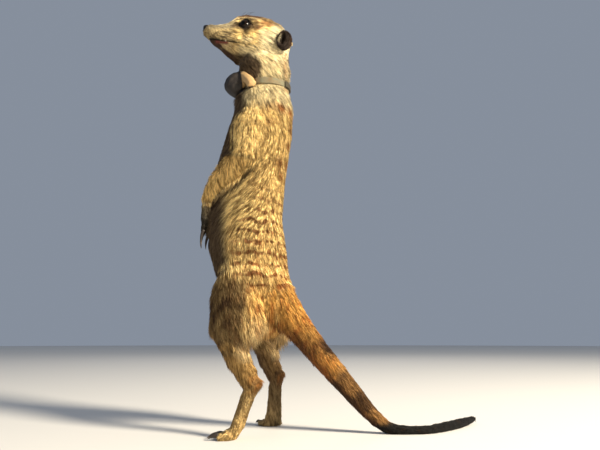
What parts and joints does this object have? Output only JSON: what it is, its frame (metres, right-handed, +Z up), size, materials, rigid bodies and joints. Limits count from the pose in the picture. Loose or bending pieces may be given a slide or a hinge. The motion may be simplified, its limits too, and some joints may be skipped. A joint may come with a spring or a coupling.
{
  "type": "meerkat, life-size still model",
  "caption": "Life-size meerkat on guard, standing upright on its hind feet and tail, hands hanging, in a radio collar.",
  "frame": {"origin": "on the floor, under the middle of the model's bounding box", "axes": "+Z up; the animal faces -X, its left side is towards -Y, and its tail lies on the floor towards +X"},
  "size_m": [0.1744, 0.145, 0.2969],
  "materials": {
    "coat_sand": "straw and tan grizzled fur with rust-brown bars over the lower back",
    "coat_pale": "short pale straw fur",
    "coat_grey": "short grey-brown fur",
    "coat_tail": "short rusty brown fur, darker above",
    "coat_black": "black-brown fur of the tail's tip",
    "ear_skin": "black short-haired skin",
    "eye": "wet dark brown iris and black pupil",
    "nose_leather": "moist pebbled black skin",
    "claw_horn": "dark horn, paler at the points",
    "collar_web": "worn grey-green webbing",
    "transmitter_resin": "cast dark brown resin, dusty and rubbed"
  },
  "bodies": {
    "root": {"head": "coat_sand", "lower_jaw": "coat_grey", "nose": "nose_leather", "eye_left": "eye", "eye_right": "eye", "ear_left": "ear_skin", "ear_right": "ear_skin", "chest": "coat_sand", "abdomen": "coat_sand", "pelvis": "coat_sand", "neck": "coat_pale", "upper_arm_left": "coat_sand", "forearm_left": "coat_sand", "hand_left": "coat_grey", "claw_hand_left_1": "claw_horn", "claw_hand_left_2": "claw_horn", "claw_hand_left_3": "claw_horn", "claw_hand_left_4": "claw_horn", "upper_arm_right": "coat_sand", "forearm_right": "coat_sand", "hand_right": "coat_grey", "claw_hand_right_1": "claw_horn", "claw_hand_right_2": "claw_horn", "claw_hand_right_3": "claw_horn", "claw_hand_right_4": "claw_horn", "thigh_left": "coat_sand", "shin_left": "coat_sand", "foot_left": "coat_pale", "claw_foot_left_1": "claw_horn", "claw_foot_left_2": "claw_horn", "claw_foot_left_3": "claw_horn", "claw_foot_left_4": "claw_horn", "thigh_right": "coat_sand", "shin_right": "coat_sand", "foot_right": "coat_pale", "claw_foot_right_1": "claw_horn", "claw_foot_right_2": "claw_horn", "claw_foot_right_3": "claw_horn", "claw_foot_right_4": "claw_horn", "tail_base": "coat_sand", "tail_middle": "coat_tail", "tail_low": "coat_tail", "tail_tip": "coat_black", "collar_band": "collar_web", "collar_transmitter": "transmitter_resin"}
  },
  "joints": []
}
